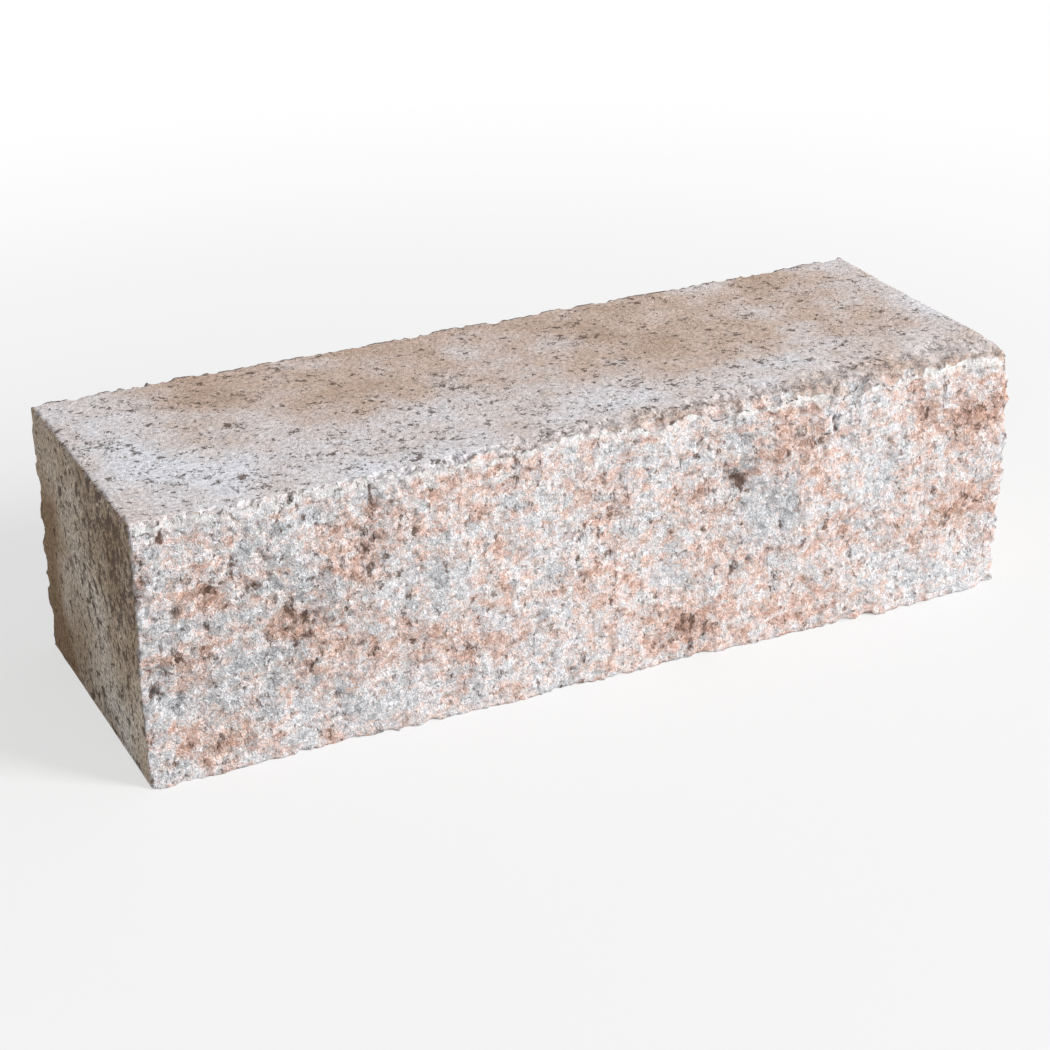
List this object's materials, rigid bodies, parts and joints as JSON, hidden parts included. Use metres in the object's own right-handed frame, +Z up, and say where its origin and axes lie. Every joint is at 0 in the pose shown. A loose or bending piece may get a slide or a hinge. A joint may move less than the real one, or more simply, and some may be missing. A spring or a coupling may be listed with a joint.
{
  "type": "split-face wall block",
  "caption": "Solid concrete walling block with rough split long faces, a crumbled top front edge, and flat moulded beds and ends.",
  "frame": {"origin": "middle of the bed face, the flat face that the block rests on, halfway between the mean planes of the two split faces", "axes": "+X along the block to the right as the split front is looked at, -Y out of the split front, +Z up out of the top bed"},
  "size_m": [0.35, 0.1249, 0.1],
  "materials": {
    "concrete": "pressed and split concrete, matte"
  },
  "bodies": {
    "root": {"wall_block": "concrete"}
  },
  "joints": []
}
